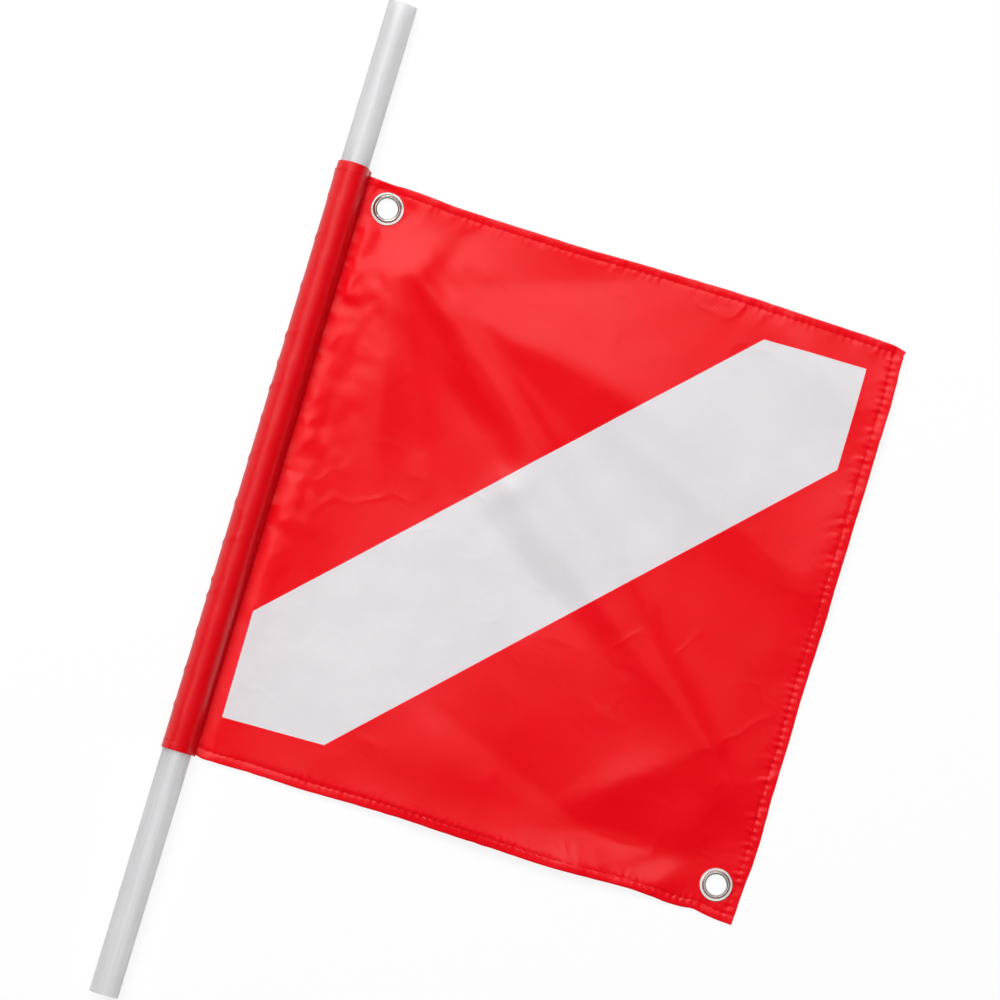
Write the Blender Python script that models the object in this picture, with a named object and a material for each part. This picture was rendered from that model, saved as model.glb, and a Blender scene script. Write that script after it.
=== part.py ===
# Divers' flag on a tube pole: a square nylon flag with a diagonal white band, a sleeve round the
# pole, three hems and two eyelets, laid flat.
# Units are metres and +Z is up. The pole runs along Y with its top end at +Y, the flag lies toward +X,
# and the origin is under the middle of the whole object.

import math

import bmesh
import bpy
from mathutils import Vector

# Pole, an extruded plastic tube
pole_length = 0.525
pole_diameter = 0.015
pole_wall = 0.0015
pole_edge_chamfer = 0.0003
pole_above_sleeve = 0.086

# Cloth
cloth_thickness = 0.0005
flag_width = 0.304          # from the sleeve's outer side to the fly edge
sleeve_length = 0.311       # the hoist edge, along the pole
sleeve_play = 0.00045       # cloth to pole, inside the sleeve
sleeve_hem_play = 0.0003    # the same inside the two tighter hem bands
sleeve_hem_length = 0.0045
sleeve_tip_reach = 0.0086   # from the pole's axis to where the two sides of the sleeve meet
seam_reach = 0.0093         # from the pole's axis to the outer side of the sleeve seam
sleeve_wrinkle_height = 0.00035

# Hems round the flag
top_hem_width = 0.0040
bottom_hem_width = 0.0046
fly_hem_width = 0.0052
hem_setback = 0.0014        # the edge hems start this far from the sleeve's seam

# Where the flag's corners lie, measured down from the sleeve's two ends
hoist_inset_top = 0.0026
hoist_inset_bottom = 0.0012
fly_drop_top = 0.0071
fly_drop_bottom = 0.0039

# White band, a diagonal stripe that ends short of the edges
stripe_width = 0.077
stripe_margin_hoist = 0.0252
stripe_margin_fly = 0.0162
stripe_margin_top = 0.0236
stripe_margin_bottom = 0.0241

# Eyelets and their washers
eyelet_bore = 0.0105
eyelet_barrel_wall = 0.0004
eyelet_flange_diameter = 0.0166
eyelet_flange_thickness = 0.0005
eyelet_lip_diameter = 0.0144
eyelet_lip_height = 0.0008
washer_diameter = 0.0171
washer_thickness = 0.00045
upper_eyelet_from_sleeve = 0.0308   # across, from the sleeve's outer side
upper_eyelet_down = 0.0158          # down, from the sleeve's top end
lower_eyelet_from_fly = 0.0142
lower_eyelet_up = 0.0165            # up, from the flag's lower fly corner

# Clearances
piece_gap = 0.0003          # between pieces that touch
seam_bend_gap = 0.0004      # from the seam's rounded side to the line that the flag bends along
cloth_bend_start = 0.00015  # from that line to the flag's own edge

# Folds that the flag lies in: each is a ridge from one point to another.
# Its row holds the start and end across and down the flag, its height and its half width.
fold_height = 0.0042
fold_reach = 0.030
fold_shares = (
    (0.09, 0.05, 0.36, 0.15, 1.00, 0.85),
    (0.36, 0.15, 0.62, 0.13, 0.80, 1.00),
    (0.27, 0.22, 0.46, 0.31, 1.00, 0.50),
    (0.46, 0.31, 0.64, 0.52, 0.60, 0.60),
    (0.64, 0.52, 0.93, 0.74, 1.00, 0.50),
    (0.06, 0.17, 0.24, 0.36, 0.60, 0.55),
    (0.12, 0.44, 0.20, 0.66, 0.50, 0.75),
    (0.44, 0.95, 0.92, 0.95, 0.95, 0.55),
    (0.70, 0.80, 0.84, 0.74, 0.55, 0.50),
    (0.94, 0.93, 0.86, 0.83, 0.70, 0.33),
    (0.95, 0.86, 0.97, 0.60, 0.40, 0.45),
    (0.36, 0.70, 0.60, 0.82, 0.50, 0.80),
)
fold_merge_share = 3        # how sharply the higher of two ridges wins where they meet
seam_flat_reach = 0.022     # the folds start from nothing over this width beside the seam
eyelet_flat_reach = 0.010   # and over this width round each washer

# Cross wrinkles of the sleeve: place along the sleeve, half length along it, height and lean
sleeve_wrinkle_reach = 0.012
sleeve_wrinkle_shares = (
    (0.06, 0.50, 0.60, -1),
    (0.17, 0.40, 1.00, 1),
    (0.29, 0.70, 0.70, -1),
    (0.41, 0.40, 1.00, 1),
    (0.52, 0.60, 0.50, -1),
    (0.66, 0.50, 0.90, 1),
    (0.79, 0.40, 0.80, 1),
    (0.91, 0.60, 0.60, -1),
)

# Counts
pole_sides = 48
sleeve_arc_steps = 22
sleeve_rows = 20
sheet_columns = 19
sheet_rows = 19
hem_rows = 26
hem_round_steps = 4
eyelet_sides = 24
eyelet_score_sides = 16
lip_round_steps = 6

# Edges that bend more than this stay sharp, and points closer than this to a cut count as on it
sharp_edge_degrees = 35
cut_tolerance = 1e-7

# Derived places
pole_radius = pole_diameter / 2
sleeve_inner_radius = pole_radius + sleeve_play
sleeve_outer_radius = sleeve_inner_radius + cloth_thickness
pole_x = sleeve_outer_radius - flag_width / 2
pole_z = sleeve_outer_radius
pole_top_y = pole_length / 2
sleeve_top_y = pole_top_y - pole_above_sleeve
sleeve_bottom_y = sleeve_top_y - sleeve_length
seam_x = pole_x + seam_reach
bend_x = seam_x + seam_bend_gap
panel_left_x = bend_x + cloth_bend_start
fly_x = flag_width / 2
cloth_bottom_z = eyelet_flange_thickness + piece_gap
cloth_middle_z = cloth_bottom_z + cloth_thickness / 2
hem_thickness = 2 * cloth_thickness
hoist_top_y = sleeve_top_y - hoist_inset_top
hoist_bottom_y = sleeve_bottom_y + hoist_inset_bottom
fly_top_y = hoist_top_y - fly_drop_top
fly_bottom_y = hoist_bottom_y - fly_drop_bottom
field_right_x = fly_x - fly_hem_width - piece_gap
washer_radius = washer_diameter / 2
eyelet_places = (
    ("upper", pole_x - sleeve_outer_radius + upper_eyelet_from_sleeve, sleeve_top_y - upper_eyelet_down),
    ("lower", fly_x - lower_eyelet_from_fly, fly_bottom_y + lower_eyelet_up),
)


def smooth_step(low, high, value):
    share = min(1.0, max(0.0, (value - low) / (high - low)))
    return share * share * (3 - 2 * share)


def line_y(start_y, end_y, x):
    """Height in Y of a line from the hoist to the fly, at x."""
    share = (x - panel_left_x) / (fly_x - panel_left_x)
    return start_y + (end_y - start_y) * share


def top_edge_y(x):
    return line_y(hoist_top_y, fly_top_y, x)


def bottom_edge_y(x):
    return line_y(hoist_bottom_y, fly_bottom_y, x)


def flag_point(across_share, down_share):
    """Point of the flag at shares of its width and height."""
    x = panel_left_x + (fly_x - panel_left_x) * across_share
    y = top_edge_y(x) + (bottom_edge_y(x) - top_edge_y(x)) * down_share
    return Vector((x, y))


def ridge_height(x, y, ridge_shares):
    """Height of one ridge: a round hump across its line that fades past its two ends."""
    start = flag_point(ridge_shares[0], ridge_shares[1])
    end = flag_point(ridge_shares[2], ridge_shares[3])
    reach = fold_reach * ridge_shares[5]
    along = end - start
    offset = Vector((x, y)) - start
    share = min(1.0, max(0.0, offset.dot(along) / along.length_squared))
    distance = (offset - along * share).length
    return fold_height * ridge_shares[4] * math.exp(-((distance / reach) ** 2))


def fold_z(x, y):
    """How far the cloth's middle lies above its flat level. Ridges that meet merge, and don't add up."""
    height = sum(ridge_height(x, y, ridge) ** fold_merge_share for ridge in fold_shares)
    height **= 1 / fold_merge_share
    height *= smooth_step(0, seam_flat_reach, x - bend_x)
    flat_radius = washer_radius + piece_gap * 2
    for _, eyelet_x, eyelet_y in eyelet_places:
        distance = math.hypot(x - eyelet_x, y - eyelet_y)
        height *= smooth_step(flat_radius, flat_radius + eyelet_flat_reach, distance)
    return height


def clear_scene():
    for item in list(bpy.data.objects):
        bpy.data.objects.remove(item, do_unlink=True)


def make_material(name, color, roughness, metallic=0.0, transmission=0.0):
    material = bpy.data.materials.new(name)
    material.use_nodes = True
    shader = material.node_tree.nodes["Principled BSDF"]
    shader.inputs["Base Color"].default_value = (*color, 1.0)
    shader.inputs["Roughness"].default_value = roughness
    shader.inputs["Metallic"].default_value = metallic
    shader.inputs["Transmission Weight"].default_value = transmission
    material.diffuse_color = (*color, 1.0)
    return material


def make_empty(name, place, parent=None):
    empty = bpy.data.objects.new(name, None)
    bpy.context.scene.collection.objects.link(empty)
    empty.parent = parent
    parent_place = parent.matrix_world.translation if parent else Vector((0, 0, 0))
    empty.location = Vector(place) - parent_place
    bpy.context.view_layer.update()
    return empty


def finish_piece(name, mesh_data, material, parent=None):
    """Makes an object from a mesh built in the part's frame, and hangs it on its parent's place."""
    bmesh.ops.recalc_face_normals(mesh_data, faces=mesh_data.faces)
    origin = parent.matrix_world.translation if parent else Vector((0, 0, 0))
    bmesh.ops.translate(mesh_data, verts=mesh_data.verts, vec=-origin)
    mesh = bpy.data.meshes.new(name)
    mesh_data.to_mesh(mesh)
    mesh_data.free()
    mesh.materials.append(material)
    mesh.shade_smooth()
    mesh.set_sharp_from_angle(angle=math.radians(sharp_edge_degrees))
    piece = bpy.data.objects.new(name, mesh)
    bpy.context.scene.collection.objects.link(piece)
    piece.parent = parent
    return piece


def bridge_rings(mesh_data, rings, closed_around=True, closed_along=False):
    """Joins rings of equally many points with quads."""
    ring_pairs = list(zip(rings, rings[1:]))
    if closed_along:
        ring_pairs.append((rings[-1], rings[0]))
    for ring, next_ring in ring_pairs:
        count = len(ring)
        for index in range(count if closed_around else count - 1):
            after = (index + 1) % count
            mesh_data.faces.new((ring[index], ring[after], next_ring[after], next_ring[index]))


def turned_mesh(profile, sides, center):
    """Revolves a closed profile of radius and height points about the vertical through center."""
    mesh_data = bmesh.new()
    rings = []
    for side in range(sides):
        angle = 2 * math.pi * side / sides
        rings.append([
            mesh_data.verts.new((
                center[0] + radius * math.cos(angle),
                center[1] + radius * math.sin(angle),
                height,
            ))
            for radius, height in profile
        ])
    bridge_rings(mesh_data, rings, closed_along=True)
    return mesh_data


def arc_points(center, radius_across, radius_up, start_degrees, end_degrees, steps):
    """Points of an elliptical arc in a radius and height plane."""
    points = []
    for step in range(steps + 1):
        angle = math.radians(start_degrees + (end_degrees - start_degrees) * step / steps)
        points.append((
            center[0] + radius_across * math.cos(angle),
            center[1] + radius_up * math.sin(angle),
        ))
    return points


def make_pole(material):
    """A plain tube along Y with both cut edges broken by a small chamfer."""
    mesh_data = bmesh.new()
    bore_radius = pole_radius - pole_wall
    stations = (
        (pole_radius - pole_edge_chamfer, 0),
        (pole_radius, pole_edge_chamfer),
        (pole_radius, pole_length - pole_edge_chamfer),
        (pole_radius - pole_edge_chamfer, pole_length),
        (bore_radius + pole_edge_chamfer, pole_length),
        (bore_radius, pole_length - pole_edge_chamfer),
        (bore_radius, pole_edge_chamfer),
        (bore_radius + pole_edge_chamfer, 0),
    )
    rings = []
    for radius, along in stations:
        ring = []
        for side in range(pole_sides):
            angle = 2 * math.pi * side / pole_sides
            ring.append(mesh_data.verts.new((
                pole_x + radius * math.cos(angle),
                pole_top_y - along,
                pole_z + radius * math.sin(angle),
            )))
        rings.append(ring)
    bridge_rings(mesh_data, rings, closed_along=True)
    return finish_piece("pole_tube", mesh_data, material)


def teardrop_section(circle_radius, tip_distance):
    """Half round and half pointed: a circle about the pole with straight sides that meet at a tip.

    Returns the points from the tip, up the right side, round the pole and back along the table.
    """
    tip_direction = math.atan2(cloth_middle_z - pole_z, sleeve_tip_reach)
    half_angle = math.acos(circle_radius / tip_distance)
    start = tip_direction + half_angle
    sweep = 2 * math.pi - 2 * half_angle
    points = [(
        tip_distance * math.cos(tip_direction),
        tip_distance * math.sin(tip_direction),
    )]
    for step in range(sleeve_arc_steps + 1):
        angle = start + sweep * step / sleeve_arc_steps
        points.append((circle_radius * math.cos(angle), circle_radius * math.sin(angle)))
    return points


def sleeve_bulge(along_share, across, up):
    """Outward swell of the sleeve's cross wrinkles, only on its upper side."""
    upper = smooth_step(0, 1, up / sleeve_outer_radius)
    height = 0
    for place_share, reach_share, height_share, lean_share in sleeve_wrinkle_shares:
        reach = sleeve_wrinkle_reach * reach_share
        distance = (along_share - place_share) * sleeve_length + across * lean_share
        height += sleeve_wrinkle_height * height_share * math.exp(-((distance / reach) ** 2))
    return height * upper


def make_sleeve_piece(name, material, parent, play, top_y, bottom_y, rows, wrinkled):
    """A length of the cloth sleeve: a teardrop tube round the pole with its seam as a flat lip."""
    inner_radius = pole_radius + play
    outer_radius = inner_radius + cloth_thickness
    tip_distance = math.hypot(sleeve_tip_reach, cloth_middle_z - pole_z)
    tip_sine = outer_radius / tip_distance
    inner_tip = tip_distance - cloth_thickness / tip_sine
    inner = teardrop_section(inner_radius, inner_tip)
    outer = teardrop_section(outer_radius, tip_distance)
    lip_low = cloth_middle_z - cloth_thickness - pole_z
    lip_high = cloth_middle_z + cloth_thickness - pole_z

    # The lip leaves the two straight sides at its own upper and lower height
    side_top = outer[1]
    side_bottom = outer[-1]
    tip = outer[0]
    high_share = (lip_high - side_top[1]) / (tip[1] - side_top[1])
    low_share = (lip_low - side_bottom[1]) / (tip[1] - side_bottom[1])
    lip_top_start = (side_top[0] + (tip[0] - side_top[0]) * high_share, lip_high)
    lip_bottom_start = (side_bottom[0] + (tip[0] - side_bottom[0]) * low_share, lip_low)
    lip_round = arc_points(
        (seam_reach - cloth_thickness, cloth_middle_z - pole_z),
        cloth_thickness, cloth_thickness, -90, 90, hem_round_steps,
    )
    outline = lip_round + [lip_top_start] + outer[1:] + [lip_bottom_start]

    mesh_data = bmesh.new()
    outer_rings = []
    for row in range(rows + 1):
        share = row / rows
        y = top_y + (bottom_y - top_y) * share
        along_share = (sleeve_top_y - y) / sleeve_length
        ring = []
        for across, up in outline:
            swell = 1.0
            if wrinkled and 0 < row < rows:
                swell += sleeve_bulge(along_share, across, up) / outer_radius
            ring.append(mesh_data.verts.new((pole_x + across * swell, y, pole_z + up * swell)))
        outer_rings.append(ring)
    bridge_rings(mesh_data, outer_rings)
    inner_rings = []
    for y in (top_y, bottom_y):
        inner_rings.append([
            mesh_data.verts.new((pole_x + across, y, pole_z + up)) for across, up in inner
        ])
    bridge_rings(mesh_data, inner_rings)
    for outer_ring, inner_ring in ((outer_rings[0], inner_rings[0]), (outer_rings[-1], inner_rings[1])):
        close_sleeve_end(mesh_data, outer_ring, inner_ring, len(lip_round))
    return finish_piece(name, mesh_data, material, parent)


def close_sleeve_end(mesh_data, outer_ring, inner_ring, lip_count):
    """Faces between the outline and the hollow at one end of the sleeve."""
    tip = inner_ring[0]
    arc_inner = inner_ring[1:]
    arc_outer = outer_ring[lip_count + 1:-1]
    for index in range(len(arc_inner) - 1):
        mesh_data.faces.new((
            arc_outer[index], arc_outer[index + 1], arc_inner[index + 1], arc_inner[index],
        ))
    lip_top_start = outer_ring[lip_count]
    lip_bottom_start = outer_ring[-1]
    mesh_data.faces.new((lip_top_start, arc_outer[0], arc_inner[0], tip))
    mesh_data.faces.new((arc_outer[-1], lip_bottom_start, tip, arc_inner[-1]))
    mesh_data.faces.new((lip_bottom_start, *outer_ring[:lip_count], lip_top_start, tip))


def flat_sheet(right_x, top_margin, bottom_margin):
    """One layer of flat cloth, a grid between the seam, the right side and the two sloping edges."""
    sheet = bmesh.new()
    rows = []
    for row in range(sheet_rows + 1):
        line = []
        for column in range(sheet_columns + 1):
            x = panel_left_x + (right_x - panel_left_x) * column / sheet_columns
            high = top_edge_y(x) - top_margin
            low = bottom_edge_y(x) + bottom_margin
            line.append(sheet.verts.new((x, high + (low - high) * row / sheet_rows, 0)))
        rows.append(line)
    bridge_rings(sheet, rows, closed_around=False)
    return sheet


def score_outline(sheet, outline):
    """Cuts a convex outline into a flat sheet and returns the faces inside it."""
    low_x = min(point.x for point in outline)
    high_x = max(point.x for point in outline)
    low_y = min(point.y for point in outline)
    high_y = max(point.y for point in outline)
    inside = []
    for face in sheet.faces:
        spots = [vertex.co for vertex in face.verts]
        if (
            max(spot.x for spot in spots) > low_x
            and min(spot.x for spot in spots) < high_x
            and max(spot.y for spot in spots) > low_y
            and min(spot.y for spot in spots) < high_y
        ):
            inside.append(face)
    middle = sum(outline, Vector((0, 0))) / len(outline)
    for start, end in zip(outline, outline[1:] + outline[:1]):
        direction = end - start
        normal = Vector((-direction.y, direction.x, 0))
        if normal.to_2d().dot(middle - start) < 0:
            normal = -normal
        edges = {edge for face in inside for edge in face.edges}
        vertices = {vertex for face in inside for vertex in face.verts}
        result = bmesh.ops.bisect_plane(
            sheet, geom=inside + list(edges) + list(vertices), dist=cut_tolerance,
            plane_co=(start.x, start.y, 0), plane_no=normal,
        )
        candidates = {item for item in result["geom"] if isinstance(item, bmesh.types.BMFace)}
        candidates.update(face for face in inside if face.is_valid)
        inside = [
            face for face in candidates
            if (face.calc_center_median().to_2d() - start).dot(normal.to_2d()) > 0
        ]
    return inside


def ring_outline(center_x, center_y, radius, sides):
    outline = []
    for side in range(sides):
        angle = 2 * math.pi * (side + 0.5) / sides
        outline.append(Vector((center_x + radius * math.cos(angle), center_y + radius * math.sin(angle))))
    return outline


def stripe_outline(inset):
    """The white band: a diagonal stripe between two parallel lines, kept inside four margins."""
    left = pole_x - sleeve_outer_radius + stripe_margin_hoist + inset
    right = fly_x - stripe_margin_fly - inset
    top = sleeve_top_y - stripe_margin_top - inset
    bottom = sleeve_bottom_y + stripe_margin_bottom + inset
    direction = Vector((right - left, top - bottom)).normalized()
    half_width = stripe_width / 2 - inset
    reach_across = half_width / direction.y
    reach_up = half_width / direction.x
    return [
        Vector((left, bottom)),
        Vector((left + reach_across, bottom)),
        Vector((right, top - reach_up)),
        Vector((right, top)),
        Vector((right - reach_across, top)),
        Vector((left, bottom + reach_up)),
    ]


def drape_sheet(sheet, thickness):
    """Lays a flat layer in its folds and gives it its thickness."""
    bmesh.ops.triangulate(sheet, faces=sheet.faces)
    for vertex in sheet.verts:
        x, y = vertex.co.x, vertex.co.y
        vertex.co.z = cloth_middle_z - thickness / 2 + fold_z(x, y)
    result = bmesh.ops.extrude_face_region(sheet, geom=sheet.faces[:], use_keep_orig=True)
    raised = [item for item in result["geom"] if isinstance(item, bmesh.types.BMVert)]
    bmesh.ops.translate(sheet, verts=raised, vec=(0, 0, thickness))
    return sheet


def make_flag_panel(material, parent):
    sheet = flat_sheet(field_right_x, top_hem_width + piece_gap, bottom_hem_width + piece_gap)
    opening = score_outline(sheet, stripe_outline(-piece_gap / 2))
    bmesh.ops.delete(sheet, geom=opening, context="FACES")
    hole_radius = eyelet_bore / 2 + eyelet_barrel_wall + piece_gap
    for _, x, y in eyelet_places:
        score_outline(sheet, ring_outline(x, y, washer_radius + piece_gap * 2, eyelet_score_sides))
        hole = score_outline(sheet, ring_outline(x, y, hole_radius * round_reach(eyelet_score_sides),
                                                 eyelet_score_sides))
        bmesh.ops.delete(sheet, geom=hole, context="FACES")
    return finish_piece("flag_panel", drape_sheet(sheet, cloth_thickness), material, parent)


def round_reach(sides):
    """Scales a ring of straight sides out so that its sides, not its corners, lie on the circle."""
    return 1 / math.cos(math.pi / sides)


def make_white_stripe(material, parent):
    sheet = flat_sheet(field_right_x, top_hem_width + piece_gap, bottom_hem_width + piece_gap)
    inside = set(score_outline(sheet, stripe_outline(piece_gap / 2)))
    outside = [face for face in sheet.faces if face not in inside]
    bmesh.ops.delete(sheet, geom=outside, context="FACES")
    return finish_piece("white_stripe", drape_sheet(sheet, cloth_thickness), material, parent)


def make_hem(name, material, parent, inner_line, outer_line):
    """A folded hem: a double layer, flat on the flag's side and round along the fold.

    Each line gives the point at a share of the hem's length.
    """
    half = hem_thickness / 2
    mesh_data = bmesh.new()
    rings = []
    for row in range(hem_rows + 1):
        inner = inner_line(row / hem_rows)
        outer = outer_line(row / hem_rows)
        width = (outer - inner).length
        section = [(0, -half), *arc_points((width - half, 0), half, half, -90, 90, hem_round_steps), (0, half)]
        ring = []
        for across, up in section:
            spot = inner + (outer - inner) * (across / width)
            ring.append(mesh_data.verts.new((spot.x, spot.y, cloth_middle_z + fold_z(spot.x, spot.y) + up)))
        rings.append(ring)
    bridge_rings(mesh_data, rings)
    mesh_data.faces.new(rings[0])
    mesh_data.faces.new(rings[-1])
    return finish_piece(name, mesh_data, material, parent)


def make_edge_hems(material, parent):
    start_x = bend_x + hem_setback
    end_x = field_right_x

    def top_outer(share):
        x = start_x + (end_x - start_x) * share
        return Vector((x, top_edge_y(x)))

    def bottom_outer(share):
        x = start_x + (end_x - start_x) * share
        return Vector((x, bottom_edge_y(x)))

    def fly_point(x, share):
        return Vector((x, top_edge_y(x) + (bottom_edge_y(x) - top_edge_y(x)) * share))

    make_hem(
        "top_hem", material, parent,
        lambda share: top_outer(share) - Vector((0, top_hem_width)), top_outer,
    )
    make_hem(
        "bottom_hem", material, parent,
        lambda share: bottom_outer(share) + Vector((0, bottom_hem_width)), bottom_outer,
    )
    make_hem(
        "fly_hem", material, parent,
        lambda share: fly_point(fly_x - fly_hem_width, share), lambda share: fly_point(fly_x, share),
    )


def make_eyelets(material, parent):
    """Each eyelet is a flange, a barrel and a rolled lip; its washer lies between lip and cloth."""
    bore_radius = eyelet_bore / 2
    barrel_radius = bore_radius + eyelet_barrel_wall
    flange_radius = eyelet_flange_diameter / 2
    lip_radius = eyelet_lip_diameter / 2
    washer_low = cloth_middle_z + cloth_thickness / 2 + piece_gap
    washer_high = washer_low + washer_thickness
    lip_low = washer_high + piece_gap
    lip_middle = (bore_radius + lip_radius) / 2
    lip_half = (lip_radius - bore_radius) / 2
    flange_half = eyelet_flange_thickness / 2
    bore_round = flange_half
    profile = [
        (bore_radius + bore_round, 0),
        (flange_radius - flange_half, 0),
        (flange_radius, flange_half),
        (flange_radius - flange_half, eyelet_flange_thickness),
        (barrel_radius, eyelet_flange_thickness),
        (barrel_radius, lip_low),
        *arc_points((lip_middle, lip_low), lip_half, eyelet_lip_height, 0, 180, lip_round_steps),
        (bore_radius, bore_round),
    ]
    washer_profile = [
        (barrel_radius + piece_gap, washer_low),
        (washer_radius - washer_thickness / 2, washer_low),
        (washer_radius, washer_low + washer_thickness / 2),
        (washer_radius - washer_thickness / 2, washer_high),
        (barrel_radius + piece_gap, washer_high),
    ]
    for name, x, y in eyelet_places:
        finish_piece(name + "_eyelet", turned_mesh(profile, eyelet_sides, (x, y)), material, parent)
        finish_piece(name + "_washer", turned_mesh(washer_profile, eyelet_sides, (x, y)), material, parent)


def build():
    clear_scene()
    plastic = make_material("milky_plastic", (0.80, 0.80, 0.81), 0.35, transmission=0.3)
    red_cloth = make_material("red_nylon", (0.82, 0.02, 0.025), 0.45)
    white_cloth = make_material("white_nylon", (0.82, 0.80, 0.82), 0.45)
    nickel = make_material("nickel", (0.80, 0.79, 0.77), 0.2, metallic=1.0)

    make_pole(plastic)
    sleeve_slide = make_empty("sleeve_slide_axis", (pole_x, sleeve_top_y, pole_z))
    seam_bend = make_empty("seam_bend_axis", (bend_x, sleeve_top_y, cloth_middle_z), sleeve_slide)

    hem_inner_top = sleeve_top_y - sleeve_hem_length
    hem_inner_bottom = sleeve_bottom_y + sleeve_hem_length
    make_sleeve_piece(
        "sleeve_top_hem", red_cloth, sleeve_slide, sleeve_hem_play,
        sleeve_top_y, hem_inner_top, 1, False,
    )
    make_sleeve_piece(
        "pole_sleeve", red_cloth, sleeve_slide, sleeve_play,
        hem_inner_top - piece_gap, hem_inner_bottom + piece_gap, sleeve_rows, True,
    )
    make_sleeve_piece(
        "sleeve_bottom_hem", red_cloth, sleeve_slide, sleeve_hem_play,
        hem_inner_bottom, sleeve_bottom_y, 1, False,
    )
    make_flag_panel(red_cloth, seam_bend)
    make_white_stripe(white_cloth, seam_bend)
    make_edge_hems(red_cloth, seam_bend)
    make_eyelets(nickel, seam_bend)


build()
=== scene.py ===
# Divers' flag on its pole, laid flat on a pale table. Metres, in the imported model's own frame.
import math

import bmesh
import bpy
import numpy as np
from mathutils import Matrix, Vector
from mathutils.geometry import delaunay_2d_cdt


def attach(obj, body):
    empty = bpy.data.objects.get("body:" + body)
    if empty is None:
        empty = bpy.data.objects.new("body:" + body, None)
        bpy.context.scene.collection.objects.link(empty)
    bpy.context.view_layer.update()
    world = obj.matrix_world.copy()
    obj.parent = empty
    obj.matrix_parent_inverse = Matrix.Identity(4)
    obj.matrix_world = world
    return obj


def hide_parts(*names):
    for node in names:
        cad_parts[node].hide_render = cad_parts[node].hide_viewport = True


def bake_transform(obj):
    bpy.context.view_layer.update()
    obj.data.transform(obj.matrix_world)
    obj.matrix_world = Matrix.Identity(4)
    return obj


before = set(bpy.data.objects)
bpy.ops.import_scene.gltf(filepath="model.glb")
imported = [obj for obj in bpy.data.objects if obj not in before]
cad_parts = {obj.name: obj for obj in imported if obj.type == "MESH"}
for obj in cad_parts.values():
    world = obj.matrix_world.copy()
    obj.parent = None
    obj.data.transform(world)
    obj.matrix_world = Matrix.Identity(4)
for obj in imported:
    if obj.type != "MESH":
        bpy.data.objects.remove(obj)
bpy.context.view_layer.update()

mm = 0.001

layout = {
    "poleX": -143.55,
    "poleZ": 8.45,
    "sleeveTop": 176.5,
    "sleeveBottom": -134.5,
    "seamX": -134.3,  # the flag leaves the sleeve's lip here
    "bendEndX": -130.2,  # and is all flag from here on
    "clothZ": 1.05,  # middle of the cloth where it lies flat
    "clothThickness": 0.24,
    "upperEyelet": (-121.2, 160.7),
    "lowerEyelet": (137.8, -120.7),
}
poleX = layout["poleX"] * mm
poleZ = layout["poleZ"] * mm
seamX = layout["seamX"] * mm
clothZ = layout["clothZ"] * mm
clothThickness = layout["clothThickness"] * mm
eyeletSpots = [np.array(layout[name]) * mm for name in ("upperEyelet", "lowerEyelet")]


# Small tools for meshes

def linearColor(red, green, blue):
    def channel(value):
        share = value / 255
        return share / 12.92 if share <= 0.04045 else ((share + 0.055) / 1.055) ** 2.4
    return (channel(red), channel(green), channel(blue), 1.0)


def smoothStep(low, high, value):
    share = np.clip((value - low) / (high - low), 0, 1)
    return share * share * (3 - 2 * share)


def bell(share):
    return np.exp(-share ** 2)


def curveThrough(knots, at):
    spots = np.array(knots, float) * mm
    xs, ys = spots[:, 0], spots[:, 1]
    slopes = np.gradient(ys, xs)
    at = np.clip(at, xs[0], xs[-1])
    index = np.clip(np.searchsorted(xs, at) - 1, 0, len(xs) - 2)
    width = xs[index + 1] - xs[index]
    share = (at - xs[index]) / width
    low = ys[index] * (1 + 2 * share) + slopes[index] * width * share
    high = ys[index + 1] * (3 - 2 * share) + slopes[index + 1] * width * (share - 1)
    return low * (1 - share) ** 2 + high * share ** 2


def latticeValue(column, row, seed):
    # A fixed value from -1 to 1 for each whole-numbered spot, mixed from its place
    mixed = (column * 374761393 + row * 668265263 + seed * 974634777) & 0xFFFFFFFF
    mixed = ((mixed ^ (mixed >> 13)) * 1274126177) & 0xFFFFFFFF
    return ((mixed ^ (mixed >> 16)) & 0xFFFF) / 32767.5 - 1


def waviness(x, y, size, seed):
    # Smooth random values from -1 to 1 that change over the given size
    x, y = np.asarray(x, float) / size, np.asarray(y, float) / size
    column, row = np.floor(x).astype(np.int64), np.floor(y).astype(np.int64)
    across, up = smoothStep(0, 1, x - column), smoothStep(0, 1, y - row)
    low = latticeValue(column, row, seed) * (1 - across) + latticeValue(column + 1, row, seed) * across
    high = latticeValue(column, row + 1, seed) * (1 - across) + latticeValue(column + 1, row + 1, seed) * across
    return low * (1 - up) + high * up


def wave(along, size, seed):
    return waviness(along, 0 * along, size * mm, seed)


def uneven(along, spread, seed):
    level, share, size = spread
    return level + share * wave(along, size, seed)


def newPiece(name, data):
    piece = bpy.data.objects.new(name, data)
    bpy.context.scene.collection.objects.link(piece)
    return piece


def finishMesh(name, vertices, faces, uv=None, sharpDegrees=40, recalculate=False):
    mesh = bpy.data.meshes.new(name)
    mesh.from_pydata(np.vstack(vertices).tolist(), [], faces)
    if recalculate:
        solid = bmesh.new()
        solid.from_mesh(mesh)
        bmesh.ops.recalc_face_normals(solid, faces=solid.faces)
        solid.to_mesh(mesh)
        solid.free()
    if uv is not None:
        corners = np.zeros(len(mesh.loops), np.int32)
        mesh.loops.foreach_get("vertex_index", corners)
        layer = mesh.uv_layers.new(name="flatCloth")
        layer.data.foreach_set("uv", np.vstack(uv).astype(np.float32)[corners].ravel())
    mesh.shade_smooth()
    mesh.set_sharp_from_angle(angle=math.radians(sharpDegrees))
    return newPiece(name, mesh)


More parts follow.
